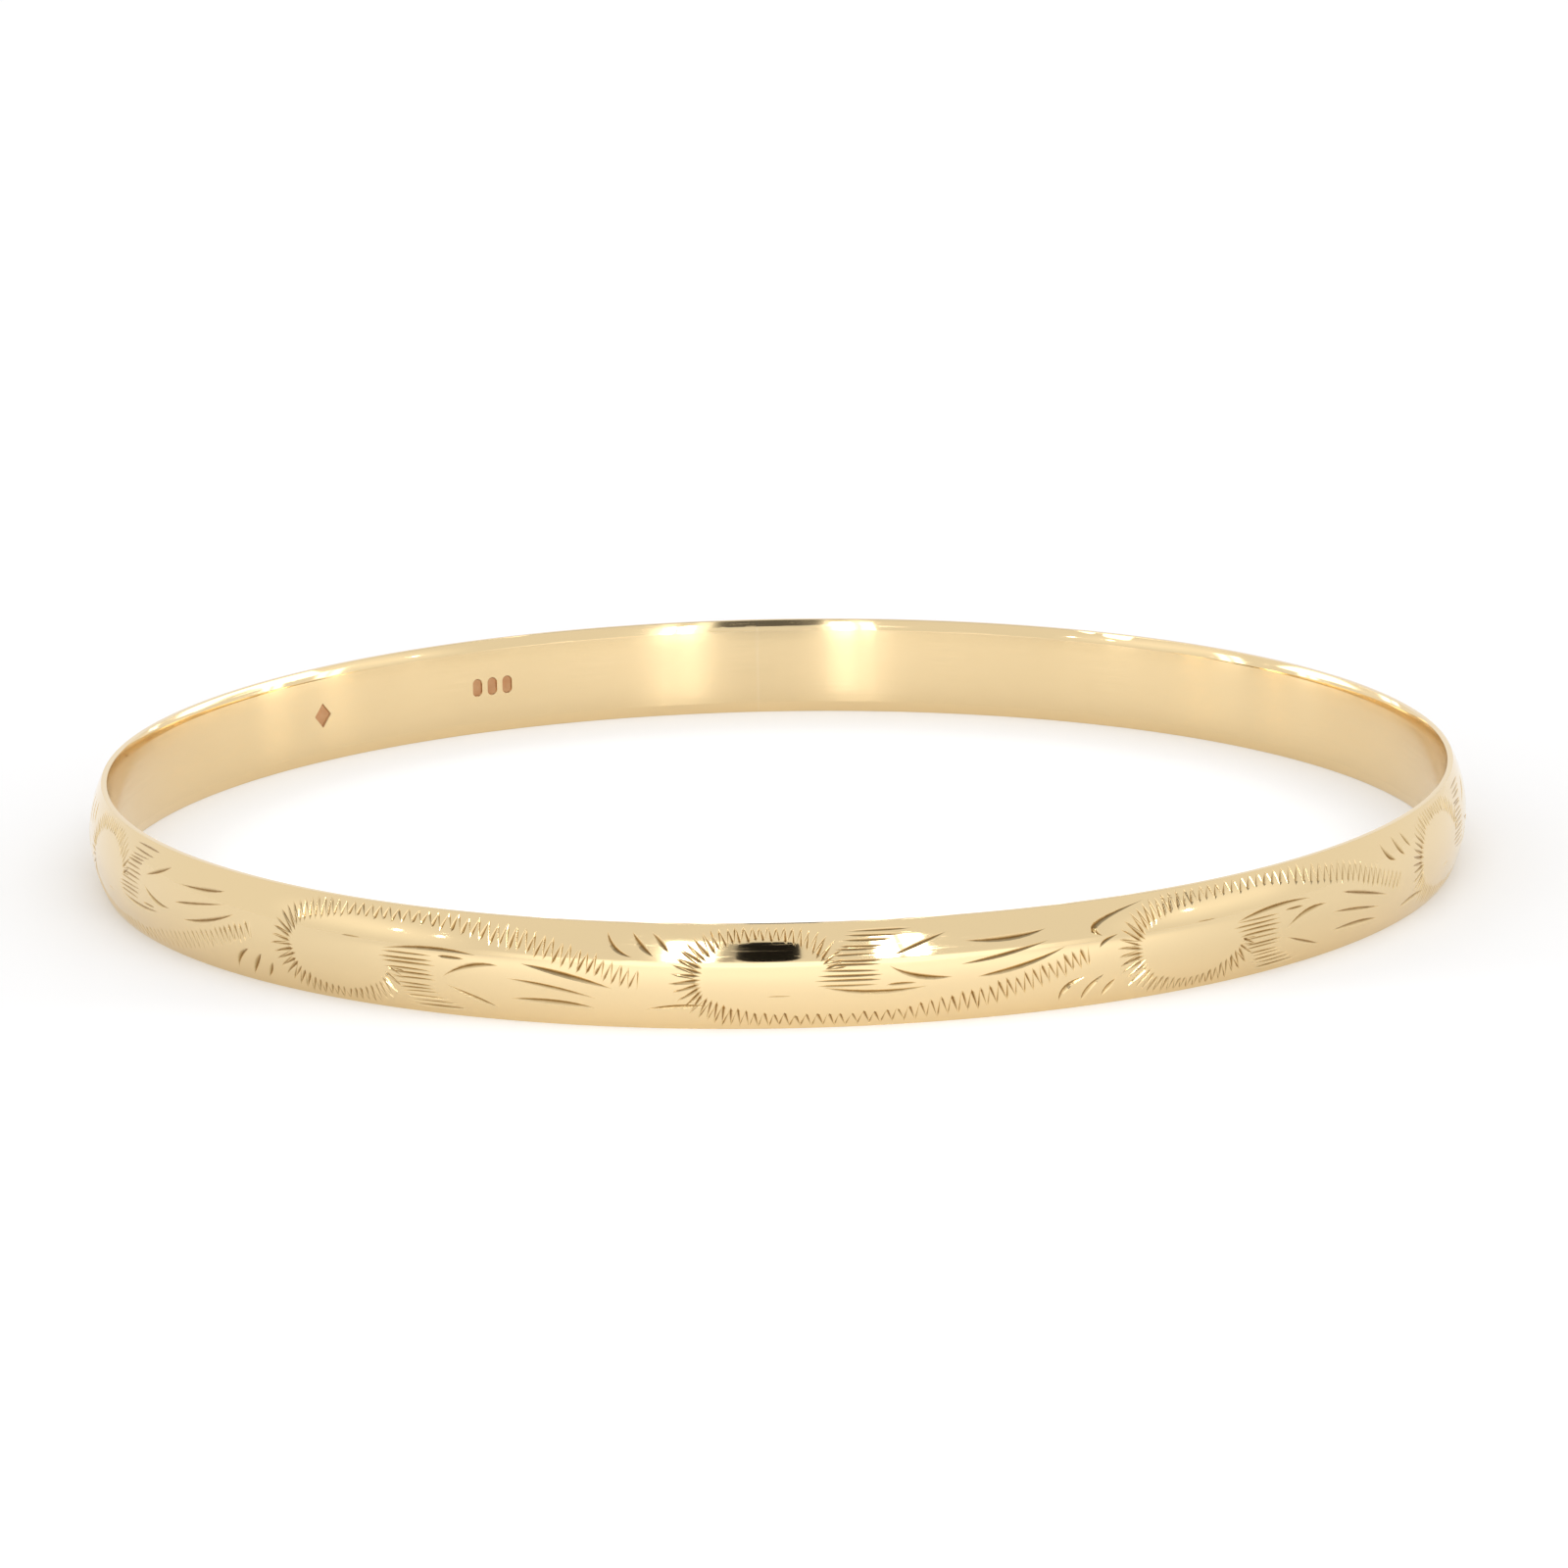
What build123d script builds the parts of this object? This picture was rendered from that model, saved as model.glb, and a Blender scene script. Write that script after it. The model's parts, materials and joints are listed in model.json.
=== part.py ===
"""A closed, slip-on bangle bracelet in yellow gold: a low half-round strip, bent into a ring and soldered.

Frame: the bangle lies flat on its lower edge. +Z is the ring's axis, the origin is the centre of the
opening at the height of the surface that the bangle rests on, and the soldered joint is on the +Y side.
Lengths are in millimetres and angles in degrees.
"""

import os
from math import cos, degrees, radians, sin

from build123d import *

# Driving dimensions
INNER_DIAMETER = 65.0  # the wrist opening
BAND_WIDTH = 4.9  # along the ring's axis
DOME_RISE = 0.63  # how far the half-round outside swells past the band's two edges
EDGE_THICKNESS = 0.42  # radial thickness of the strip at its two edges, before the inside is eased
EASED_WIDTH = 0.55  # the inside is eased over this width beside each edge, for comfort
EASED_FROM = 8.0  # slope of the eased inside where it leaves the straight wall
EASED_TO = 21.0  # and where it meets the edge
POLISHED_CORNER = 0.03  # radius of the edges' polished corners

# The butt joint
SEAM_WIDTH = 0.12
SEAM_AZIMUTH = 90.0

# Punched marks on the inside wall: plain shapes, with no lettering
MARK_DEPTH = 0.08
LOZENGE_AZIMUTH = 134.0
LOZENGE_ACROSS = 1.15
LOZENGE_HEIGHT = 1.3
PIPS_AZIMUTH = 115.3
PIP_COUNT = 3
PIP_ACROSS = 0.55
PIP_HEIGHT = 0.95
PIP_PITCH = 0.85

inner_radius = INNER_DIAMETER / 2
edge_radius = inner_radius + EDGE_THICKNESS
outer_radius = edge_radius + DOME_RISE
half_width = BAND_WIDTH / 2
seam_arc = degrees(SEAM_WIDTH / inner_radius)


def strip_section():
    """The strip's half-round section, upright in the XZ plane and centred on Z = 0."""
    ease_radius = EASED_WIDTH / (sin(radians(EASED_TO)) - sin(radians(EASED_FROM)))
    flat_half = half_width - EASED_WIDTH

    def on_ease(slope):
        """The point of the upper eased stretch where its slope is the one given."""
        across = ease_radius * (cos(radians(EASED_FROM)) - cos(radians(slope)))
        along = ease_radius * (sin(radians(slope)) - sin(radians(EASED_FROM)))
        return inner_radius + across, flat_half + along

    def below(point):
        return point[0], -point[1]

    flat_top = on_ease(EASED_FROM)
    ease_middle = on_ease((EASED_FROM + EASED_TO) / 2)
    ease_top = on_ease(EASED_TO)
    outer_top = (edge_radius, half_width)
    with BuildSketch(Plane.XZ) as section:
        with BuildLine():
            Line(below(flat_top), flat_top)
            ThreePointArc(flat_top, ease_middle, ease_top)
            Line(ease_top, outer_top)
            ThreePointArc(outer_top, (outer_radius, 0), below(outer_top))
            Line(below(outer_top), below(ease_top))
            ThreePointArc(below(ease_top), below(ease_middle), below(flat_top))
        make_face()
        edge_corners = section.vertices().filter_by(lambda v: abs(v.Y) > half_width - 1e-6)
        fillet(edge_corners, POLISHED_CORNER)
    return section.sketch


def strip(start_azimuth, arc):
    """The section turned about the ring's axis through arc, from start_azimuth."""
    turned = revolve(strip_section(), Axis.Z, revolution_arc=arc)
    return Pos(0, 0, half_width) * Rot(0, 0, start_azimuth) * turned


def struck_inside(outline, azimuth):
    """The punch of a flat outline, struck square into the inside wall at mid-width."""
    outward = Vector(cos(radians(azimuth)), sin(radians(azimuth)), 0)
    floor = Plane(
        origin=outward * (inner_radius + MARK_DEPTH) + Vector(0, 0, half_width),
        x_dir=Vector(-outward.Y, outward.X, 0),
        z_dir=outward,
    )
    return extrude(floor * outline, amount=-1)


def lozenge_punch():
    corner_x = LOZENGE_ACROSS / 2
    corner_y = LOZENGE_HEIGHT / 2
    corners = [(corner_x, 0), (0, corner_y), (-corner_x, 0), (0, -corner_y)]
    return struck_inside(make_face(Polyline(*corners, close=True)), LOZENGE_AZIMUTH)


def pip_punches():
    """A row of plain upright pips, side by side round the wall."""
    pip = SlotOverall(PIP_HEIGHT, PIP_ACROSS, rotation=90)
    middle = (PIP_COUNT - 1) / 2
    pip_step = degrees(PIP_PITCH / inner_radius)
    return [struck_inside(pip, PIPS_AZIMUTH + (i - middle) * pip_step) for i in range(PIP_COUNT)]


def band():
    """The strip, from one side of the solder round to the other, with its marks punched."""
    plain = strip(SEAM_AZIMUTH + seam_arc / 2, 360 - seam_arc)
    return plain - [lozenge_punch(), *pip_punches()]


def solder_seam():
    """The solder between the strip's ends, dressed flush with the strip all round."""
    return strip(SEAM_AZIMUTH - seam_arc / 2, seam_arc)


os.makedirs("parts", exist_ok=True)
for name, shape in {"band": band(), "solder_seam": solder_seam()}.items():
    export_step(shape, f"parts/{name}.step")
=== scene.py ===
"""A closed half-round gold bangle, engraved round its outside, lying on a white table under studio light.

Everything is in metres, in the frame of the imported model: +Z up the ring's axis, the soldered joint at +Y.
The engraving is laid out in millimetres on the unrolled band: along is the distance round the outside,
and up is the height above mid-width.
"""

import json
import random
from math import asin, cos, hypot, log, pi, radians, sin, tan, tau

import bmesh
import bpy
import numpy as np
from mathutils import Matrix, Vector
from mathutils.geometry import delaunay_2d_cdt


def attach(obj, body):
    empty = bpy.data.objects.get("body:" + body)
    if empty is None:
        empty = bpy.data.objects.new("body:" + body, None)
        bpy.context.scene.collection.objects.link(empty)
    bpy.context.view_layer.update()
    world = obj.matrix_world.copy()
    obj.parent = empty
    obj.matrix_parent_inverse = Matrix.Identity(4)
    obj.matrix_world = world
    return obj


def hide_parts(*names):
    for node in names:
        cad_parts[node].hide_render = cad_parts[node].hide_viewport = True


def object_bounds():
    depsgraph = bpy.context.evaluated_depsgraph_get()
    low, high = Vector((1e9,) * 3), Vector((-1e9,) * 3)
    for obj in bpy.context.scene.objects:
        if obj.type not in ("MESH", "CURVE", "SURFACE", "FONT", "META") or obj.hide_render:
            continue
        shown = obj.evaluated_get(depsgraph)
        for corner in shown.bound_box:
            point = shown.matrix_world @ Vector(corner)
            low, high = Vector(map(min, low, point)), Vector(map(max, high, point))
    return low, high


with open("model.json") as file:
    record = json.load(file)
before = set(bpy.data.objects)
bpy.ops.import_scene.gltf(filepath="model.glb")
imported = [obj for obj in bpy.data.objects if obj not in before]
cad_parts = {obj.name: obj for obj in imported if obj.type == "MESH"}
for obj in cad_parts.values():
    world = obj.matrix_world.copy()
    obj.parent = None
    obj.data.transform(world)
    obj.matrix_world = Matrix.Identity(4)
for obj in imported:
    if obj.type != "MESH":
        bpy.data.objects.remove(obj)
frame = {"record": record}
cad_low, cad_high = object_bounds()

bl_info = {
    "name": "Engraved half-round bangle",
    "version": (1, 0, 0),
    "blender": (4, 5, 0),
    "location": "3D View > Sidebar > Bangle",
    "description": "Makes an engraved half-round gold bangle and the table that it lies on",
    "category": "Add Mesh",
}

MM = 0.001
OPENING = next(m for m in frame["record"]["mounts"] if m["name"] == "wrist_opening")

# The plain marks punched inside, in millimetres, and their azimuths in degrees
LOZENGE_AZIMUTH = 134.0
LOZENGE_SIZE = (1.15, 1.3)
PIPS_AZIMUTH = 115.3
PIP_SIZE = (0.55, 0.95)
PIP_PITCH = 0.85

# How each face of the ring is shaded
SOFT, DOME, EASE, WALL, CUT = range(5)

FULL_SHADE = 0.055  # a cut this deep, in millimetres, has the full tarnish and painted shade at its bottom

# How finely the ring is meshed
RING_COLUMNS = 420
SEAM_COLUMNS = 2
DOME_ROWS = 14
WALL_ROWS = 6
CORNER_STEPS = 3
EASE_STEPS = 6
GRID_CLEAR = 0.07  # the mesh's own grid stays this far from a cut's edge, in millimetres
SEARCH_MARGIN = 0.1  # and is only tested this far round each cut

UNCUT_EDGE = 0.09  # the graver keeps this far from the end of the dome, in millimetres
BOX_MARGIN = 0.02  # slack round the box that a cut or a mark lies in, in millimetres
PUNCH_DRAFT = 0.056  # how far a punched mark's floor lies inside its outline, in millimetres
THIN_LEG = 0.62  # every second leg of the zigzag is this share of the other's width
CURL_EVERY = 6  # one oval in this many has the hooked stem


# ---------------------------------------------------------------- settings


class BangleSizes(bpy.types.PropertyGroup):
    """The half-round strip's section and its joint."""

    inner_radius: bpy.props.FloatProperty(
        name="Inside radius",
        description="Radius of the wrist opening",
        default=OPENING["dims"]["r_mm"] * MM,
        unit="LENGTH",
    )
    outer_radius: bpy.props.FloatProperty(
        name="Outside radius",
        description="Radius at the crown of the half-round outside",
        default=(cad_high.x - cad_low.x) / 2,
        unit="LENGTH",
    )
    width: bpy.props.FloatProperty(
        name="Width",
        description="Width of the band along the ring's axis",
        default=cad_high.z - cad_low.z,
        unit="LENGTH",
    )
    dome_rise: bpy.props.FloatProperty(
        name="Dome rise",
        description="How far the outside swells past the band's edges",
        default=0.63 * MM,
        unit="LENGTH",
    )
    eased_width: bpy.props.FloatProperty(
        name="Eased width",
        description="How far in from each edge the inside is rounded for comfort",
        default=0.55 * MM,
        unit="LENGTH",
    )
    eased_from: bpy.props.FloatProperty(
        name="Eased slope, start",
        description="Slope of the eased inside where it leaves the straight wall",
        default=radians(8),
        subtype="ANGLE",
    )
    eased_to: bpy.props.FloatProperty(
        name="Eased slope, end",
        description="Slope of the eased inside where it meets the edge",
        default=radians(21),
        subtype="ANGLE",
    )
    corner: bpy.props.FloatProperty(
        name="Polished corner",
        description="Radius of the edges' polished corners",
        default=0.03 * MM,
        unit="LENGTH",
    )
    seam_width: bpy.props.FloatProperty(
        name="Seam width",
        description="Width of the solder in the butt joint",
        default=0.12 * MM,
        unit="LENGTH",
    )
    mark_depth: bpy.props.FloatProperty(
        name="Mark depth",
        description="Depth of the plain marks punched inside",
        default=0.08 * MM,
        unit="LENGTH",
    )


class EngravingSettings(bpy.types.PropertyGroup):
    """The hand-cut pattern round the outside."""

    repeats: bpy.props.IntProperty(
        name="Repeats",
        description="How many times the pattern goes round, every second one upside down",
        default=10,
    )
    phase: bpy.props.FloatProperty(
        name="Phase",
        description="Azimuth of the first plain oval",
        default=radians(-93.2),
        subtype="ANGLE",
    )
    tilt: bpy.props.FloatProperty(
        name="Cut slope",
        description="Slope of the two walls of a cut",
        default=radians(36),
        subtype="ANGLE",
    )
    wander: bpy.props.FloatProperty(
        name="Hand wander",
        description="How far the engraver's hand strays, in millimetres",
        default=0.045,
    )
    seed: bpy.props.IntProperty(
        name="Seed",
        description="Start of the random draws for the engraver's hand",
        default=11,
    )


class BangleColours(bpy.types.PropertyGroup):
    """Metal colours and finishes."""

    gold: bpy.props.FloatVectorProperty(
        name="Gold",
        description="Colour of the polished gold",
        default=(0.82, 0.64, 0.37),
        subtype="COLOR",
        size=3,
    )
    # Tarnish with painted shade: the dark colour put at the bottom of the cuts
    tarnish_and_shade_colour: bpy.props.FloatVectorProperty(
        name="Tarnish",
        description="Colour at the bottom of the cuts",
        default=(0.33, 0.195, 0.06),
        subtype="COLOR",
        size=3,
    )
    struck: bpy.props.FloatVectorProperty(
        name="Struck marks",
        description="Reddish colour of the dirt in the marks punched inside",
        default=(0.42, 0.17, 0.07),
        subtype="COLOR",
        size=3,
    )
    solder: bpy.props.FloatVectorProperty(
        name="Solder",
        description="Colour of the solder, a little paler than the gold",
        default=(0.83, 0.66, 0.40),
        subtype="COLOR",
        size=3,
    )
    polish: bpy.props.FloatProperty(
        name="Polish",
        description="Roughness of the polished outside",
        default=0.05,
        subtype="FACTOR",
    )
    satin: bpy.props.FloatProperty(
        name="Satin",
        description="Roughness of the lapped inside",
        default=0.23,
        subtype="FACTOR",
    )


class StudioSettings(bpy.types.PropertyGroup):
    """The camera's place, roll and lens."""

    elevation: bpy.props.FloatProperty(
        name="Camera elevation",
        description="How far the camera looks down",
        default=radians(13.31),
        subtype="ANGLE",
    )
    azimuth: bpy.props.FloatProperty(
        name="Camera azimuth",
        description="Turn of the camera about the ring's axis, from looking along +Y",
        default=radians(-1.6),
        subtype="ANGLE",
    )
    roll: bpy.props.FloatProperty(
        name="Camera roll",
        description="Tilt of the camera about its own line of sight",
        default=radians(1.07),
        subtype="ANGLE",
    )
    distance: bpy.props.FloatProperty(
        name="Camera distance",
        description="From the camera to the middle of the ring",
        default=0.446,
        unit="LENGTH",
    )
    lens: bpy.props.FloatProperty(
        name="Lens",
        description="Focal length on a 36 mm sensor",
        default=209.6,
    )


# ---------------------------------------------------------------- the strip's section


class Section:
    """The section's outline as places (radius, height), with the height counted from mid-width."""

    def __init__(self, sizes):
        self.inner = sizes.inner_radius
        self.outer = sizes.outer_radius
        self.half = sizes.width / 2
        self.rise = sizes.dome_rise
        self.dome = (self.half**2 + self.rise**2) / (2 * self.rise)
        self.ease_from = sizes.eased_from
        self.ease_to = sizes.eased_to
        self.ease = sizes.eased_width / (sin(self.ease_to) - sin(self.ease_from))
        self.flat_half = self.half - sizes.eased_width
        self.corner = sizes.corner
        land_in = self.inner + self.ease * (cos(self.ease_from) - cos(self.ease_to))
        land_out = self.outer - self.rise
        # The outer corner is round, so the dome stops short of the edge by the corner's tangent length.
        meet_out = pi / 2 - asin(self.half / self.dome)
        meet_in = pi / 2 - self.ease_to
        short_out = self.corner * tan(meet_out / 2)
        short_in = self.corner * tan(meet_in / 2)
        self.land = (land_in + short_in, land_out - short_out)
        self.dome_half = self.half - short_out * sin(meet_out)
        self.ease_end = self.ease_to - short_in / self.ease

    def on_dome(self, up, depth=0.0):
        """The place at a height on the dome, sunk by a depth, and the outward normal there."""
        lean = asin(up / self.dome)
        radius = self.outer - self.dome + (self.dome - depth) * cos(lean)
        return radius, (self.dome - depth) * sin(lean), lean

    def over_edge(self, steps):
        """Places from the dome's end over the upper edge's two polished corners."""
        lean = asin(self.dome_half / self.dome)
        turns = ((self.land[1], lean, pi / 2), (self.land[0], pi / 2, pi - self.ease_to))
        return [
            (middle + self.corner * cos(angle), self.half - self.corner + self.corner * sin(angle))
            for middle, start, end in turns
            for angle in (start + (end - start) * i / steps for i in range(steps + 1))
        ]

    def eased(self, steps):
        """Places down the upper eased stretch, from the edge's corner to the straight wall."""
        slopes = (self.ease_end + (self.ease_from - self.ease_end) * i / steps for i in range(1, steps + 1))
        return [
            (
                self.inner + self.ease * (cos(self.ease_from) - cos(slope)),
                self.flat_half + self.ease * (sin(slope) - sin(self.ease_from)),
            )
            for slope in slopes
        ]


# ---------------------------------------------------------------- cuts


class Cut:
    """A V-cut: a spine with a half-width and a depth at each point, in millimetres."""

    def __init__(self, spine, half_widths, depths):
        self.spine = np.array(spine)
        self.half_widths = half_widths
        self.depths = depths
        reach = self.half_widths.max() + BOX_MARGIN
        self.low = self.spine.min(axis=0) - reach
        self.high = self.spine.max(axis=0) + reach

    def shifted(self, along):
        return Cut(self.spine + (along, 0), self.half_widths, self.depths)

    def outline(self):
        """The cut's edge as a closed loop: one tip, one side, the other tip and the other side."""
        run = np.gradient(self.spine, axis=0)
        run /= np.maximum(np.linalg.norm(run, axis=1, keepdims=True), 1e-9)
        side = np.stack([-run[:, 1], run[:, 0]], axis=1) * self.half_widths[:, None]
        left = (self.spine + side)[1:-1]
        right = (self.spine - side)[1:-1]
        return np.concatenate([self.spine[:1], left, self.spine[-1:], right[::-1]])

    def depth_at(self, points):
        """Depth below the polished surface at each point, 0 outside the cut."""
        best = np.zeros(len(points))
        for j in range(len(self.spine) - 1):
            start, run = self.spine[j], self.spine[j + 1] - self.spine[j]
            t = np.clip(((points - start) @ run) / (run @ run), 0, 1)
            away = np.linalg.norm(points - start - t[:, None] * run, axis=1)
            half = self.half_widths[j] * (1 - t) + self.half_widths[j + 1] * t
            deep = self.depths[j] * (1 - t) + self.depths[j + 1] * t
            best = np.maximum(best, deep * np.clip(1 - away / np.maximum(half, 1e-9), 0, 1))
        return best

    def distance_to(self, points):
        """Distance from each point to the cut's edge, negative inside."""
        best = np.full(len(points), 1e9)
        for j in range(len(self.spine) - 1):
            start, run = self.spine[j], self.spine[j + 1] - self.spine[j]
            t = np.clip(((points - start) @ run) / (run @ run), 0, 1)
            away = np.linalg.norm(points - start - t[:, None] * run, axis=1)
            best = np.minimum(best, away - self.half_widths[j] * (1 - t) - self.half_widths[j + 1] * t)
        return best


class Punch:
    """A flat-bottomed mark: an outline and the smaller outline of its floor."""

    def __init__(self, corners, depth):
        self.edge = np.array(corners)
        self.depth = depth
        middle = self.edge.mean(axis=0)
        inward = middle - self.edge
        inward /= np.linalg.norm(inward, axis=1, keepdims=True)
        self.floor = self.edge + inward * PUNCH_DRAFT
        self.low = self.edge.min(axis=0) - BOX_MARGIN
        self.high = self.edge.max(axis=0) + BOX_MARGIN

    def shifted(self, along):
        moved = Punch(self.edge + (along, 0), self.depth)
        moved.floor = self.floor + (along, 0)
        return moved

    def depth_at(self, points):
        inside_edge = within(self.edge, points)
        share = np.where(within(self.floor, points), 1.0, 0.0)
        return np.where(inside_edge, share * self.depth, 0.0)


def within(loop, points, slack=1e-4):
    """Whether each point is inside a convex loop that runs counter-clockwise."""
    inside = np.ones(len(points), dtype=bool)
    for a, b in zip(loop, np.roll(loop, -1, axis=0)):
        cross = (b[0] - a[0]) * (points[:, 1] - a[1]) - (b[1] - a[1]) * (points[:, 0] - a[0])
        inside &= cross > -slack
    return inside


class Engraver:
    """Lays out one repeat of the pattern round a plain oval, with the small errors of a hand."""

    def __init__(self, settings, hand, reach):
        self.slope = tan(settings.tilt)
        self.wander = settings.wander
        self.hand = hand
        self.reach = reach
        self.cuts = []

    def near(self, point, share=1.0):
        stray = self.wander * share
        return (point[0] + self.hand.gauss(0, stray), point[1] + self.hand.gauss(0, stray))

    def held(self, point):
        """Keeps a point off the band's edge, where the graver can't reach."""
        return (point[0], max(-self.reach, min(self.reach, point[1])))

    def cut(self, start, middle, end, width, peak=0.5, steps=8, taper=0.85):
        """A curved cut through three places that swells to its width at peak, its share of the way."""
        ease = log(0.5) / log(peak)
        spine = []
        halves = []
        for i in range(steps + 1):
            t = i / steps
            bow = 2 * t * (1 - t)
            weights = ((1 - t) ** 2 - bow * 0.5, bow * 2, t**2 - bow * 0.5)
            places = (start, middle, end)
            spine.append(tuple(sum(w * p[k] for w, p in zip(weights, places)) for k in (0, 1)))
            halves.append(width / 2 * sin(pi * t**ease) ** taper if 0 < i < steps else 0.0)
        halves = np.array(halves)
        self.cuts.append(Cut([self.held(p) for p in spine], halves, halves * self.slope))

    def leaf(self, start, middle, end, width):
        wide = width * self.hand.uniform(0.88, 1.15)
        start, middle, end = self.near(start), self.near(middle, 0.5), self.near(end)
        self.cut(start, middle, end, wide, self.hand.uniform(0.42, 0.6))

    def line(self, start, end, width=0.14):
        start, end = self.near(start, 0.5), self.near(end, 0.5)
        middle = ((start[0] + end[0]) / 2, (start[1] + end[1]) / 2 + self.hand.gauss(0, 0.012))
        peak = self.hand.uniform(0.35, 0.6)
        self.cut(start, middle, end, width * self.hand.uniform(0.85, 1.2), peak, steps=6, taper=0.45)

    def tick(self, toe, tail, width):
        """A short cut that starts wide at its toe and runs out thin."""
        toe, tail = self.near(toe, 0.5), self.near(tail, 0.5)
        middle = ((toe[0] + tail[0]) / 2, (toe[1] + tail[1]) / 2)
        self.cut(toe, middle, tail, width * self.hand.uniform(0.8, 1.25), 0.2, steps=5)

    def wriggle(self, path, width):
        """A zigzag along a path, cut by rocking the graver. Each leg starts wide and runs out thin."""
        turn = None
        side = 1
        travelled = 0.0
        for (x, y, half, pitch), ahead in zip(path, path[1:]):
            run = (ahead[0] - x, ahead[1] - y)
            length = hypot(*run)
            travelled += length
            if turn and travelled < pitch / 2:
                continue
            travelled = 0.0
            reach = side * half * self.hand.uniform(0.9, 1.1) / length
            next_turn = self.held((x - run[1] * reach, y + run[0] * reach))
            if turn:
                self.tick(turn, next_turn, width if side > 0 else width * THIN_LEG)
            turn = next_turn
            side = -side


def smooth_run(places, steps):
    """A smooth line through the places, with as many points as steps (a Catmull-Rom curve)."""
    run = []
    for i in range(steps):
        at = i / (steps - 1) * (len(places) - 1)
        k = min(int(at), len(places) - 2)
        t = at - k
        near = (places[max(0, min(j, len(places) - 1))] for j in range(k - 1, k + 3))
        run.append(tuple(
            q + 0.5 * t * (r - p + t * (2 * p - 5 * q + 4 * r - s + t * (3 * (q - r) + s - p)))
            for p, q, r, s in zip(*near)
        ))
    return run


# The wriggle-cut border's middle, half its width and its pitch: round the oval, along the edge and across
BORDER = [
    (3.5, -0.35, 0.45, 0.34), (3.2, -1.1, 0.55, 0.34), (2.3, -1.72, 0.52, 0.33), (0.9, -2.04, 0.37, 0.35),
    (-0.6, -2.04, 0.37, 0.35), (-1.9, -1.82, 0.5, 0.33), (-2.9, -1.25, 0.64, 0.3), (-3.42, -0.3, 0.7, 0.29),
    (-3.35, 0.6, 0.68, 0.29), (-2.75, 1.28, 0.62, 0.31), (-1.7, 1.72, 0.54, 0.34), (-0.5, 1.94, 0.44, 0.4),
    (1.0, 2.02, 0.36, 0.46), (2.8, 2.03, 0.34, 0.5), (4.6, 2.02, 0.34, 0.52), (6.3, 1.93, 0.4, 0.52),
    (7.8, 1.76, 0.48, 0.5), (9.2, 1.55, 0.54, 0.46), (10.6, 1.3, 0.56, 0.44), (12.1, 0.9, 0.56, 0.42),
    (13.5, 0.48, 0.54, 0.4), (14.8, 0.08, 0.52, 0.4), (15.7, -0.18, 0.45, 0.4),
]


def engrave_repeat(settings, hand, reach, curl, upright):
    """One repeat of the pattern, with its oval at 0 and its border running on towards the next."""
    tool = Engraver(settings, hand, reach)
    tool.wriggle(smooth_run(BORDER, 2000), 0.18)
    # Long leaves: the arch over the hatching, the two-leaf spray, and the fan
    tool.leaf((2.7, 0.42), (5.2, 0.75), (7.7, 0.6), 0.22)
    tool.leaf((5.9, -0.5), (7.2, 0.06), (8.8, 0.2), 0.27)
    tool.leaf((6.0, -0.9), (7.4, -1.4), (8.6, -1.8), 0.22)
    tool.leaf((10.0, 0.4), (12.1, 0.0), (14.3, -0.6), 0.27)
    tool.leaf((9.2, -0.33), (11.2, -0.58), (13.45, -1.0), 0.22)
    tool.leaf((9.4, -1.28), (11.6, -1.33), (13.4, -1.55), 0.27)
    # Three slanting cuts in the free corner before the next oval
    tool.leaf((14.0, 2.0), (14.4, 1.35), (15.2, 0.93), 0.28)
    tool.leaf((15.2, 2.05), (15.6, 1.5), (16.2, 0.97), 0.28)
    tool.leaf((16.2, 2.1), (16.5, 1.65), (16.9, 1.15), 0.26)
    # Hatching beside the oval, the lines longer towards the free edge
    for i in range(8):
        up = 0.36 - 0.235 * i
        tool.line((2.45 + 0.16 * abs(i - 1), up), (5.4 + 0.1 * (i % 3), up + 0.02))
    for i in range(4):
        up = -1.46 - 0.21 * i
        tool.line((3.6 + 0.12 * i, up), (5.7 + 0.45 * i, up + 0.03))
    tool.line((5.7, 0.42), (7.1, 0.42))
    # A stray tick inside the oval
    tool.line((0.3, 0.8), (1.4, 0.82), 0.08)
    if curl:
        # A hooked stem that leads into the oval, with a small leaf under it
        tool.cut((-5.2, 1.0), (-4.85, 1.6), (-2.4, 2.2), 0.3, 0.3)
        tool.cut((-5.15, 1.32), (-5.12, 1.08), (-4.85, 0.92), 0.17, 0.5)
        tool.leaf((-5.1, 0.3), (-4.7, 0.68), (-4.1, 0.92), 0.16)
    if upright:
        tool.leaf((15.7, -1.52), (17.2, -1.32), (18.7, -1.38), 0.22)
    return tool.cuts


def all_cuts(settings, section):
    """Every cut round the band, as (distance from azimuth 0, height) in millimetres."""
    hand = random.Random(settings.seed)
    round_mm = tau * section.outer / MM
    reach = section.dome_half / MM - UNCUT_EDGE
    cuts = []
    for i in range(settings.repeats):
        middle = (settings.phase / tau + i / settings.repeats) * round_mm
        flip = 1 if i % 2 else -1
        for cut in engrave_repeat(settings, hand, reach, i % CURL_EVERY == 1, flip > 0):
            cuts.append(Cut(cut.spine * (1, flip) + (middle, 0), cut.half_widths, cut.depths))
    return cuts, round_mm


# ---------------------------------------------------------------- surfaces


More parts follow.
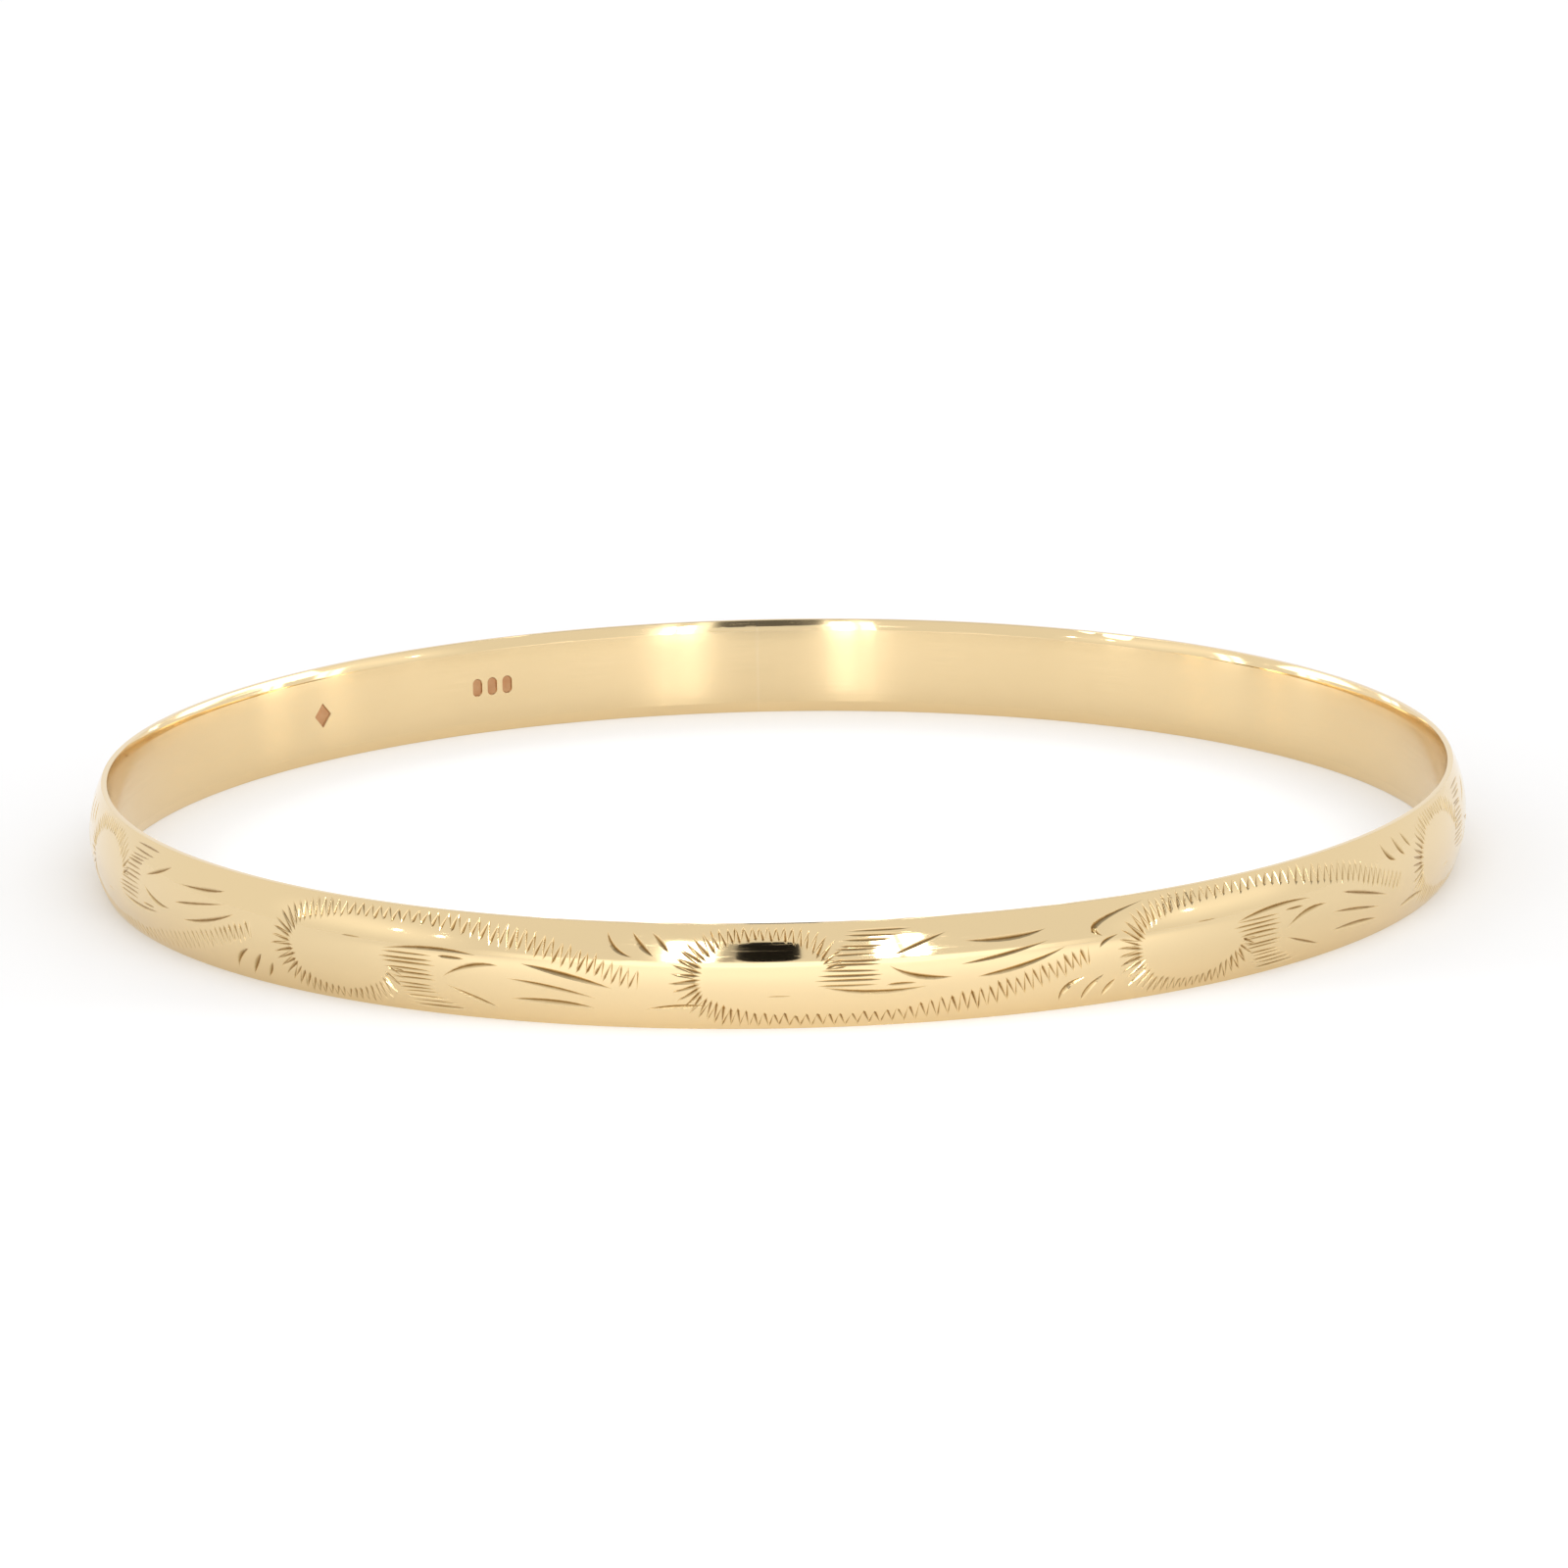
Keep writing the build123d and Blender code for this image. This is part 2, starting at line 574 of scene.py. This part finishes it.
def cut_surface(cuts, low, high, columns, half, rows):
    """Triangles over a stretch of the unrolled band that follow every cut's edge and valley.

    Returns the places, their depths and the triangles, each with whether it lies in a cut."""
    points = []
    edges = []

    def add_run(run, closed):
        first = len(points)
        points.extend(map(tuple, run))
        count = len(run)
        edges.extend((first + i, first + (i + 1) % count) for i in range(count if closed else count - 1))

    corners = [(low, -half), (high, -half), (high, half), (low, half)]
    for start, end, count in zip(corners, corners[1:] + corners[:1], (columns, rows, columns, rows)):
        side = [tuple(start[k] + (end[k] - start[k]) * i / count for k in (0, 1)) for i in range(count + 1)]
        add_run(side, closed=False)
    inner_columns = np.linspace(low, high, columns + 1)[1:-1]
    inner_rows = np.linspace(-half, half, rows + 1)[1:-1]
    along, up = np.meshgrid(inner_columns, inner_rows)
    grid = np.stack([along.ravel(), up.ravel()], axis=1)
    free = np.ones(len(grid), dtype=bool)
    for cut in cuts:
        close = np.all((grid > cut.low - SEARCH_MARGIN) & (grid < cut.high + SEARCH_MARGIN), axis=1)
        if isinstance(cut, Cut):
            if close.any():
                free[close] &= cut.distance_to(grid[close]) > GRID_CLEAR
            add_run(cut.outline(), closed=True)
            add_run(cut.spine, closed=False)
        else:
            free[close] = False
            add_run(cut.edge, closed=True)
            add_run(cut.floor, closed=True)
    points.extend(map(tuple, grid[free]))
    made, _, faces, *_ = delaunay_2d_cdt([Vector(p) for p in points], edges, [], 0, 1e-5, False)
    made = np.array([tuple(p) for p in made])
    depths = np.zeros(len(made))
    faces = np.array(faces)
    middles = made[faces].mean(axis=1)
    kept = (middles[:, 0] > low) & (middles[:, 0] < high) & (np.abs(middles[:, 1]) < half)
    in_cut = np.zeros(len(faces), dtype=bool)
    for cut in cuts:
        close = np.all((made > cut.low) & (made < cut.high), axis=1)
        depths[close] = np.maximum(depths[close], cut.depth_at(made[close]))
        close = np.all((middles > cut.low) & (middles < cut.high), axis=1)
        if isinstance(cut, Cut):
            in_cut[close] |= cut.depth_at(middles[close]) > 1e-6
        else:
            in_cut[close] |= within(cut.edge, middles[close])
    return made, depths, faces[kept], in_cut[kept]


def plain_marks(section, sizes):
    """The two marks punched inside: a lozenge and a row of three upright pips, as places round the wall."""
    wide = section.outer / section.inner  # the wall is unrolled at the outside's scale
    depth = sizes.mark_depth / MM
    around = section.outer / MM

    def loop(azimuth, corners):
        return [(radians(azimuth) * around + x * wide, y) for x, y in corners]

    corner_x, corner_y = LOZENGE_SIZE[0] / 2, LOZENGE_SIZE[1] / 2
    lozenge = [(corner_x, 0), (0, corner_y), (-corner_x, 0), (0, -corner_y)]
    marks = [Punch(loop(LOZENGE_AZIMUTH, lozenge), depth)]
    round_end, straight = PIP_SIZE[0] / 2, (PIP_SIZE[1] - PIP_SIZE[0]) / 2
    pip = []
    for i in range(16):
        angle = tau * (i + 0.5) / 16
        end = straight if sin(angle) > 0 else -straight
        pip.append((round_end * cos(angle), round_end * sin(angle) + end))
    for i in (-1, 0, 1):
        shifted = [(x + i * PIP_PITCH, y) for x, y in pip]
        marks.append(Punch(loop(PIPS_AZIMUTH, shifted), depth))
    return marks


def ring_piece(name, section, cuts, marks, low, high, columns):
    """A closed length of the band from one unrolled place to another, cut outside and marked inside."""
    around = section.outer / MM
    shell = bmesh.new()
    kind = shell.faces.layers.int.new("kind")
    sunk = shell.verts.layers.float.new("cut_depth")

    def place(along, radius, height):
        angle = along / around
        return Vector((radius * cos(angle), radius * sin(angle), height + section.half))

    def patch(made, depths, faces, in_cut, inward):
        verts = []
        for (along, up), depth in zip(made, depths):
            if inward:
                radius, height = section.inner + depth * MM, up * MM
            else:
                radius, height, _ = section.on_dome(up * MM, depth * MM)
            vert = shell.verts.new(place(along, radius, height))
            # How far a place lies toward the full darkening at a cut's bottom (tarnish with painted shade)
            # or a mark's floor (dirt)
            vert[sunk] = min(depth / FULL_SHADE, 1.0)
            verts.append(vert)
        for corners, cut in zip(faces, in_cut):
            order = corners[::-1] if inward else corners
            face = shell.faces.new([verts[i] for i in order])
            face[kind] = CUT if cut else (WALL if inward else DOME)
            face.material_index = 1 if inward else 0
        return verts

    def windowed(items):
        return [c for c in items if c.high[0] > low and c.low[0] < high]

    dome, wall = section.dome_half / MM, section.flat_half / MM
    outside = patch(*cut_surface(windowed(cuts), low, high, columns, dome, DOME_ROWS), False)
    inside = patch(*cut_surface(windowed(marks), low, high, columns, wall, WALL_ROWS), True)
    over = [section.on_dome(section.dome_half)[:2]] + section.over_edge(CORNER_STEPS)
    rows = over + section.eased(EASE_STEPS)
    for flip in (1, -1):
        last = None
        for k, (radius, height) in enumerate(rows):
            row = [
                shell.verts.new(place(low + (high - low) * i / columns, radius, flip * height))
                for i in range(columns + 1)
            ]
            if last:
                for i in range(columns):
                    corners = [last[i], last[i + 1], row[i + 1], row[i]]
                    face = shell.faces.new(corners if flip == 1 else corners[::-1])
                    face[kind] = SOFT if k < len(over) else EASE
            last = row
    loose = [v for v in outside + inside if not v.link_faces]
    bmesh.ops.delete(shell, geom=loose, context="VERTS")
    bmesh.ops.remove_doubles(shell, verts=shell.verts, dist=2e-8)
    open_edges = [e for e in shell.edges if e.is_boundary]
    capped = bmesh.ops.holes_fill(shell, edges=open_edges, sides=0)
    for face in capped["faces"]:
        face[kind] = CUT
        face.material_index = 0
    bmesh.ops.triangulate(shell, faces=capped["faces"])
    if not all(edge.is_manifold for edge in shell.edges):
        raise ValueError(name + " is not a closed surface")
    mesh = bpy.data.meshes.new(name)
    shell.to_mesh(mesh)
    shell.free()
    # The lapping lines run round the ring's own axis on every length of it
    mesh.use_auto_texspace = False
    mesh.texspace_location = (0, 0, section.half)
    mesh.texspace_size = (section.outer, section.outer, section.half)
    shade(mesh, section)
    piece = bpy.data.objects.new(name, mesh)
    bpy.context.collection.objects.link(piece)
    return piece


# Share of the straight wall's half height from which wear turns it towards the eased edge
WORN_FROM = 0.35


def shade(mesh, section):
    """Gives the dome, the eased stretches and the inside wall their true normals; cuts' walls stay flat."""
    kinds = np.empty(len(mesh.polygons), dtype=np.int32)
    mesh.attributes["kind"].data.foreach_get("value", kinds)
    mesh.polygons.foreach_set("use_smooth", kinds != CUT)
    owner = np.repeat(kinds, [p.loop_total for p in mesh.polygons])
    corner = np.empty(len(mesh.loops), dtype=np.int32)
    mesh.loops.foreach_get("vertex_index", corner)
    place = np.empty(len(mesh.vertices) * 3)
    mesh.vertices.foreach_get("co", place)
    place = place.reshape(-1, 3)[corner]
    flat = place[:, :2] / np.linalg.norm(place[:, :2], axis=1, keepdims=True)
    lean = np.clip((place[:, 2] - section.half) / section.dome, -1, 1)
    normals = np.zeros((len(corner), 3))
    dome = owner == DOME
    level = np.sqrt(1 - lean**2)
    normals[dome] = np.column_stack([flat * level[:, None], lean])[dome]
    ease = owner == EASE
    height = place[:, 2] - section.half
    rise = np.clip((np.abs(height) - section.flat_half) / section.ease + sin(section.ease_from), 0, 1)
    inward = np.column_stack([-flat * np.sqrt(1 - rise**2)[:, None], rise * np.sign(height)])
    normals[ease] = inward[ease]
    wall = owner == WALL
    turn = np.clip((np.abs(height) / section.flat_half - WORN_FROM) / (1 - WORN_FROM), 0, 1) ** 2
    rise = sin(section.ease_from) * turn
    worn = np.column_stack([-flat * np.sqrt(1 - rise**2)[:, None], rise * np.sign(height)])
    normals[wall] = worn[wall]
    mesh.normals_split_custom_set(normals)


# ---------------------------------------------------------------- materials


class Value:
    """A number that varies over a surface. Python's operators on it add Math nodes."""

    def __init__(self, paint, socket):
        self.paint = paint
        self.socket = socket

    def maths(self, operation, *others):
        return self.paint.maths(operation, self, *others)

    def __add__(self, other):
        return self.maths("ADD", other)

    __radd__ = __add__

    def __sub__(self, other):
        return self.maths("SUBTRACT", other)

    def __rsub__(self, other):
        return self.paint.maths("SUBTRACT", other, self)

    def __mul__(self, other):
        return self.maths("MULTIPLY", other)

    __rmul__ = __mul__

    def __truediv__(self, other):
        return self.maths("DIVIDE", other)

    def __abs__(self):
        return self.maths("ABSOLUTE")

    def rise(self, low, high):
        """0 below low, 1 above high and smooth between them."""
        node = self.paint.node(
            "ShaderNodeMapRange",
            {"interpolation_type": "SMOOTHSTEP"},
            {"Value": self, "From Min": low, "From Max": high},
        )
        return Value(self.paint, node.outputs["Result"])


class Paint:
    """The nodes of one material or world."""

    def __init__(self, tree):
        self.tree = tree
        tree.nodes.clear()

    def node(self, kind, settings=None, inputs=None):
        made = self.tree.nodes.new(kind)
        for name, value in (settings or {}).items():
            setattr(made, name, value)
        for name, value in (inputs or {}).items():
            source = value.socket if isinstance(value, Value) else value
            if isinstance(source, bpy.types.NodeSocket):
                self.tree.links.new(source, made.inputs[name])
            else:
                made.inputs[name].default_value = source
        return made

    def maths(self, operation, *values):
        node = self.node("ShaderNodeMath", {"operation": operation}, dict(enumerate(values)))
        return Value(self, node.outputs["Value"])

    def places(self):
        return self.node("ShaderNodeTexCoord").outputs["Object"]

    def stretched(self, place, scale, turn=(0.0, 0.0, 0.0)):
        inputs = {"Vector": place, "Scale": scale, "Rotation": turn}
        return self.node("ShaderNodeMapping", {"vector_type": "POINT"}, inputs).outputs["Vector"]

    def noise(self, place, scale, detail=2.0, rough=0.5):
        inputs = {"Vector": place, "Scale": scale, "Detail": detail, "Roughness": rough}
        return Value(self, self.node("ShaderNodeTexNoise", None, inputs).outputs["Fac"])

    def attribute(self, name):
        node = self.node("ShaderNodeAttribute", {"attribute_name": name})
        return Value(self, node.outputs["Fac"])

    def blend(self, share, first, second):
        """The first colour at share 0 and the second at share 1."""
        settings = {"data_type": "RGBA", "clamp_factor": False}
        # A Mix node has a set of sockets per kind of data; these are its factor and its two colours
        node = self.node("ShaderNodeMix", settings, {0: share, 6: first, 7: second})
        return node.outputs[2]

    def bump(self, height, strength, distance, normal=None):
        inputs = {"Height": height, "Strength": strength, "Distance": distance}
        if normal:
            inputs["Normal"] = normal
        return self.node("ShaderNodeBump", None, inputs).outputs["Normal"]

    def surface(self, inputs):
        shader = self.node("ShaderNodeBsdfPrincipled", None, inputs)
        self.node("ShaderNodeOutputMaterial", None, {"Surface": shader.outputs["BSDF"]})


def material(name):
    made = bpy.data.materials.new(name)
    made.use_nodes = True
    return made, Paint(made.node_tree)


def opaque(colour, share=1.0):
    return (*(c * share for c in colour), 1.0)


def polished_gold(name, colour, colours):
    """Buffed gold with hairline scratches, faint smears, and tarnish with painted shade darkening its cuts.
    """
    made, paint = material(name)
    place = paint.places()
    cut = paint.attribute("cut_depth")
    smears = paint.noise(place, 260, 3).rise(0.45, 0.75)
    along = paint.noise(paint.stretched(place, (330, 330, 14000), (0.03, 0.05, 0)), 1, 1).rise(0.66, 0.72)
    across = paint.noise(paint.stretched(place, (900, 900, 9000), (0.5, -0.4, 0)), 1, 1).rise(0.7, 0.75)
    scratches = paint.maths("MAXIMUM", along, across)
    waves = paint.noise(place, 420, 1)
    # Tarnish and painted shade in the cuts, darker the deeper the cut
    tarnish_and_shade_share = cut.rise(0.0, 0.95) * (0.62 + 0.45 * paint.noise(place, 1500, 2))
    tone = paint.blend(paint.noise(place, 130, 2), opaque(colour), opaque(colour, 0.96))
    tone = paint.blend(tarnish_and_shade_share, tone, opaque(colours.tarnish_and_shade_colour))
    waved = paint.bump(waves, 0.07, 0.000012)
    normal = paint.bump(scratches, 0.06, 0.000004, waved)
    paint.surface({
        "Base Color": tone,
        "Metallic": 1.0,
        "Roughness": colours.polish + 0.04 * smears + 0.07 * scratches + 0.14 * cut.rise(0.0, 0.3),
        "Normal": normal,
    })
    return made


def satin_gold(name, colour, colours):
    """Gold lapped round the inside: fine lines round the wall, some stretches smoother than others."""
    made, paint = material(name)
    place = paint.places()
    lines = paint.noise(paint.stretched(place, (160, 160, 26000)), 1, 2, 0.6)
    strokes = paint.noise(paint.stretched(place, (420, 420, 7000), (0.08, -0.06, 0)), 1, 2)
    worn = paint.noise(place, 150, 3)
    tone = paint.blend(lines * 0.6 + strokes * 0.4, opaque(colour, 0.93), opaque(colour))
    dirt = paint.attribute("cut_depth") * (0.55 + 0.45 * paint.noise(place, 1800, 2))
    tone = paint.blend(dirt, tone, opaque(colours.struck))
    paint.surface({
        "Base Color": tone,
        "Metallic": 1.0,
        "Roughness": colours.satin + 0.1 * (worn - 0.5) + 0.08 * (strokes - 0.5),
        "Anisotropic": 1.0,
        "Anisotropic Rotation": 0.25,
        "Normal": paint.bump(lines + strokes * 0.5, 0.2, 0.000004),
    })
    return made


# ---------------------------------------------------------------- stage


def card(name, corners, strength):
    """A flat glowing card that only reflections see."""
    mesh = bpy.data.meshes.new(name)
    mesh.from_pydata([tuple(c) for c in corners], [], [tuple(range(len(corners)))])
    piece = bpy.data.objects.new(name, mesh)
    bpy.context.collection.objects.link(piece)
    made, paint = material(name)
    glow = paint.node("ShaderNodeEmission", None, {"Color": (1, 1, 1, 1), "Strength": strength})
    paint.node("ShaderNodeOutputMaterial", None, {"Surface": glow.outputs["Emission"]})
    mesh.materials.append(made)
    piece.visible_camera = False
    piece.visible_diffuse = False
    piece.visible_shadow = False


def on_ring(azimuth, studio):
    """The place on the ring's upper edge at an azimuth counted from the camera's."""
    turn = radians(azimuth) + studio.azimuth
    return Vector((sin(turn), -cos(turn), 0)) * OPENING["dims"]["r_mm"] * MM + Vector((0, 0, cad_high.z))


def seen_from(place, azimuth, elevation, distance, studio):
    """A place in the studio by its bearing from a place on the ring: azimuth 0 is the camera's."""
    turn = radians(azimuth) + studio.azimuth
    level = distance * cos(radians(elevation))
    return place + Vector((level * sin(turn), -level * cos(turn), distance * sin(radians(elevation))))


def rounded_card(name, place, azimuths, elevations, distance, strength, studio, corner=0.25):
    """A card with rounded corners, between two bearings and two heights as seen from a place."""
    corners = []
    middle = [(azimuths[0] + azimuths[1]) / 2, (elevations[0] + elevations[1]) / 2]
    half = [(azimuths[1] - azimuths[0]) / 2, (elevations[1] - elevations[0]) / 2]
    radius = corner * min(half) * 2
    for quarter, (side, top) in enumerate(((1, 1), (-1, 1), (-1, -1), (1, -1))):
        for i in range(7):
            angle = (quarter + i / 6) * pi / 2
            corners.append((
                middle[0] + side * (half[0] - radius) + radius * cos(angle),
                middle[1] + top * (half[1] - radius) + radius * sin(angle),
            ))
    card(name, [seen_from(place, a, e, distance, studio) for a, e in corners], strength)


TABLE_GLOW = 0.14


def make_floor():
    """A wide white table top at the height of the ring's lower edge."""
    sides = 96
    table = bmesh.new()
    centre = table.verts.new((0, 0, cad_low.z))
    last = None
    for radius in (0.1, 0.4, 1.0, 4.0):
        turns = (tau * i / sides for i in range(sides))
        ring = [table.verts.new((radius * cos(turn), radius * sin(turn), cad_low.z)) for turn in turns]
        for i in range(sides):
            j = (i + 1) % sides
            table.faces.new([last[i], ring[i], ring[j], last[j]] if last else [centre, ring[i], ring[j]])
        last = ring
    mesh = bpy.data.meshes.new("table_top")
    table.to_mesh(mesh)
    table.free()
    made, paint = material("table_white")
    place = paint.places()
    parts = paint.node("ShaderNodeSeparateXYZ", None, {"Vector": place})
    across, ahead = abs(Value(paint, parts.outputs["X"])), 0 - Value(paint, parts.outputs["Y"])
    # Painted light: the table glows a little of its own, with a painted pool of light in front of the ring
    # and more painted light inside it
    painted_pool_spread = 1 - (across / (ahead + 0.03)).rise(0.2, 1.05)
    painted_light_pool = painted_pool_spread * (0.42 * ahead.rise(0.022, 0.05) + 0.5 * ahead.rise(0.07, 0.4))
    reach = paint.maths("SQRT", across * across + ahead * ahead)
    # Painted light, brighter inside the ring
    inside = 0.3 * (1 - reach.rise(0.02, 0.031))
    tone = paint.blend(paint.noise(place, 60, 3), (0.79, 0.79, 0.8, 1), (0.81, 0.81, 0.815, 1))
    paint.surface({
        "Base Color": tone,
        "Roughness": 0.85,
        "Specular IOR Level": 0.2,
        "Emission Color": paint.blend(TABLE_GLOW + painted_light_pool + inside, (0, 0, 0, 1), (1, 1, 1, 1)),
        "Emission Strength": 1.0,
    })
    mesh.materials.append(made)
    piece = bpy.data.objects.new("table_top", mesh)
    bpy.context.collection.objects.link(piece)


def lamp(name, kind, place, aim, energy, settings):
    data = bpy.data.lights.new(name, kind)
    data.energy = energy
    for key, value in settings.items():
        setattr(data, key, value)
    light = bpy.data.objects.new(name, data)
    light.location = place
    light.rotation_mode = "QUATERNION"
    light.rotation_quaternion = (Vector(aim) - Vector(place)).to_track_quat("-Z", "Y")
    light.visible_glossy = False
    bpy.context.collection.objects.link(light)


def panel_pair(name, place, azimuths, elevations, distance, gap, strength, studio):
    """Two glowing panels side by side, with a gap of so many degrees between them."""
    middle = (azimuths[0] + azimuths[1]) / 2
    for side, low, high in (("a", azimuths[0], middle - gap / 2), ("b", middle + gap / 2, azimuths[1])):
        rounded_card(f"{name}_{side}", place, (low, high), elevations, distance, strength, studio)


PANEL_GLOW = 10.0
GLINT_GLOW = 3.0
BACK_GLINT_GLOW = 1.8
NEAR_CARD = 0.04  # metres from a place on the ring to the glint cards set for it

# Where a small pair of glints shows on the inside wall, and the bearing of its cards from there
GLINTS = [(-129.7, 98.6), (-137.3, 84.5), (135.8, -87.0), (126.5, -106.0)]

# The same for the two taller pairs at the back
BACK_GLINTS = [(-171.2, 16.9), (173.2, -13.1)]

# Bearings of the small far lamps, as seen from the front of the ring
FAR_LAMPS = (-66.6, -58.4, 71.8)


def make_surroundings():
    """A white room with a dim ceiling, brighter low down behind the camera and a little at the sides."""
    world = bpy.data.worlds.new("studio_room")
    bpy.context.scene.world = world
    world.use_nodes = True
    paint = Paint(world.node_tree)
    direction = paint.node("ShaderNodeTexCoord").outputs["Generated"]
    parts = paint.node("ShaderNodeSeparateXYZ", None, {"Vector": direction})
    back, up = Value(paint, parts.outputs["Y"]), Value(paint, parts.outputs["Z"])
    ceiling = up.rise(sin(radians(46)), sin(radians(58)))
    far_table = 1 - up.rise(sin(radians(3.4)), sin(radians(4.0)))
    front = (0 - back).rise(0.55, 0.95)
    room = 1.0 - 0.03 * (0 - back).rise(0.0, 0.8) + front * far_table * 0.9
    sides = (1 - abs(abs(Value(paint, parts.outputs["X"])) - 0.93) * 6).rise(0, 1)
    sides = sides * (1 - abs(up - 0.2) * 5).rise(0, 1) * (0 - back).rise(-0.1, 0.1)
    strength = (room + 0.25 * sides) * (1 - ceiling) + 0.45 * ceiling
    glow = paint.node("ShaderNodeBackground", None, {"Color": (1, 0.995, 0.985, 1), "Strength": strength})
    paint.node("ShaderNodeOutputWorld", None, {"Surface": glow.outputs["Background"]})


def make_camera(studio):
    """Looks at the middle of the ring from the front and above, with a long lens."""
    target = Vector((0, 0, (cad_low.z + cad_high.z) / 2))
    level = cos(studio.elevation)
    away = Vector((level * sin(studio.azimuth), -level * cos(studio.azimuth), sin(studio.elevation)))
    data = bpy.data.cameras.new("camera")
    data.lens = studio.lens
    data.sensor_width = 36.0
    data.shift_x = 0.004
    data.shift_y = 0.0161
    data.clip_start = 0.01
    data.clip_end = 50.0
    camera = bpy.data.objects.new("camera", data)
    camera.location = target + away * studio.distance
    turn = (-away).to_track_quat("-Z", "Y").to_matrix().to_4x4() @ Matrix.Rotation(-studio.roll, 4, "Z")
    camera.rotation_mode = "QUATERNION"
    camera.rotation_quaternion = turn.to_quaternion()
    bpy.context.collection.objects.link(camera)
    bpy.context.scene.camera = camera


# ---------------------------------------------------------------- operators


def ring_parts(scene):
    """What both lengths of the ring are made from: section, cuts, marks and the joint's place."""
    section = Section(scene.bangle_sizes)
    cuts, around = all_cuts(scene.bangle_engraving, section)
    marks = plain_marks(section, scene.bangle_sizes)
    half_seam = scene.bangle_sizes.seam_width / 2 / section.inner * section.outer / MM
    return section, cuts, marks, around, half_seam


class BANGLE_OT_band(bpy.types.Operator):
    """Make the engraved band, open only at its soldered joint"""

    bl_idname = "bangle.band"
    bl_label = "Engraved band"

    def execute(self, context):
        scene = context.scene
        section, cuts, marks, around, half_seam = ring_parts(scene)
        joint = around / 4
        cuts = cuts + [c.shifted(-around) for c in cuts]
        marks = marks + [m.shifted(-around) for m in marks]
        low, high = joint + half_seam - around, joint - half_seam
        band = ring_piece("band_engraved", section, cuts, marks, low, high, RING_COLUMNS)
        colours = scene.bangle_colours
        band.data.materials.append(polished_gold("gold_polished", colours.gold, colours))
        band.data.materials.append(satin_gold("gold_satin", colours.gold, colours))
        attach(band, "root")
        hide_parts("band")
        return {"FINISHED"}


class BANGLE_OT_solder_seam(bpy.types.Operator):
    """Make the solder between the band's two ends, engraved and polished with it"""

    bl_idname = "bangle.solder_seam"
    bl_label = "Solder seam"

    def execute(self, context):
        scene = context.scene
        section, cuts, marks, around, half_seam = ring_parts(scene)
        joint = around / 4
        low, high = joint - half_seam, joint + half_seam
        seam = ring_piece("solder_fill", section, cuts, marks, low, high, SEAM_COLUMNS)
        colours = scene.bangle_colours
        seam.data.materials.append(polished_gold("solder_polished", colours.solder, colours))
        seam.data.materials.append(satin_gold("solder_satin", colours.solder, colours))
        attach(seam, "root")
        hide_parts("solder_seam")
        return {"FINISHED"}


class BANGLE_OT_stage(bpy.types.Operator):
    """Make the white table, the lights, what the gold reflects and the camera"""

    bl_idname = "bangle.stage"
    bl_label = "Studio"

    def execute(self, context):
        studio = context.scene.bangle_studio
        make_floor()
        make_surroundings()
        lamp("key_overhead", "SUN", (0.1, -0.2, 1.0), (0, 0, 0), 1.0, {"angle": radians(70)})
        front, back = on_ring(0, studio), on_ring(180, studio)
        panel_pair("panel_left", front, (-18.6, -11.0), (4, 25), 1.5, 1.3, PANEL_GLOW, studio)
        panel_pair("panel_right", front, (16.2, 25.4), (4, 27), 0.25, 1.3, PANEL_GLOW, studio)
        rounded_card("dim_brow", back, (-3.6, 4.4), (14, 34), 0.03, 0.15, studio, 0.1)
        rounded_card("pale_brow", back, (-3.6, 4.4), (-3, 14), 0.03, 0.95, studio, 0.1)
        for azimuth, bearing in BACK_GLINTS:
            span = (bearing - 2.7, bearing + 2.7)
            place = on_ring(azimuth, studio)
            panel_pair("back_glint", place, span, (0, 34), NEAR_CARD, 1.9, BACK_GLINT_GLOW, studio)
        for azimuth, bearing in GLINTS:
            span = (bearing - 2, bearing + 2)
            place = on_ring(azimuth, studio)
            panel_pair(f"glint_{azimuth:.0f}", place, span, (1, 12), NEAR_CARD, 0.5, GLINT_GLOW, studio)
        for azimuth in FAR_LAMPS:
            span = (azimuth - 0.7, azimuth + 0.7)
            rounded_card(f"far_lamp_{azimuth:.0f}", front, span, (11, 12.6), 0.6, PANEL_GLOW, studio, 0.5)
        rounded_card("dark_camera", front, (-7.5, 3.4), (4.2, 24.6), 0.44, 0.012, studio, 0.35)
        rounded_card("camera_side", front, (-10.3, -7.6), (4.2, 23), 0.45, 0.5, studio, 0.1)
        make_camera(studio)
        context.scene.view_settings.view_transform = "Standard"
        return {"FINISHED"}


class BANGLE_PT_sidebar(bpy.types.Panel):
    """Lists the bangle's pieces and their settings"""

    bl_idname = "BANGLE_PT_sidebar"
    bl_label = "Engraved bangle"
    bl_space_type = "VIEW_3D"
    bl_region_type = "UI"
    bl_category = "Bangle"

    def draw(self, context):
        scene = context.scene
        for name in ("bangle_sizes", "bangle_engraving", "bangle_colours", "bangle_studio"):
            box = self.layout.box()
            group = getattr(scene, name)
            for key in group.__annotations__:
                box.prop(group, key)
        for operator in (BANGLE_OT_band, BANGLE_OT_solder_seam, BANGLE_OT_stage):
            self.layout.operator(operator.bl_idname)


SETTINGS = {
    "bangle_sizes": BangleSizes,
    "bangle_engraving": EngravingSettings,
    "bangle_colours": BangleColours,
    "bangle_studio": StudioSettings,
}
CLASSES = (*SETTINGS.values(), BANGLE_OT_band, BANGLE_OT_solder_seam, BANGLE_OT_stage, BANGLE_PT_sidebar)


def register():
    for made in CLASSES:
        bpy.utils.register_class(made)
    for name, group in SETTINGS.items():
        setattr(bpy.types.Scene, name, bpy.props.PointerProperty(type=group))


def unregister():
    for name in SETTINGS:
        delattr(bpy.types.Scene, name)
    for made in reversed(CLASSES):
        bpy.utils.unregister_class(made)


def main():
    register()
    bpy.ops.bangle.band()
    bpy.ops.bangle.solder_seam()
    bpy.ops.bangle.stage()


if __name__ == "__main__":
    main()
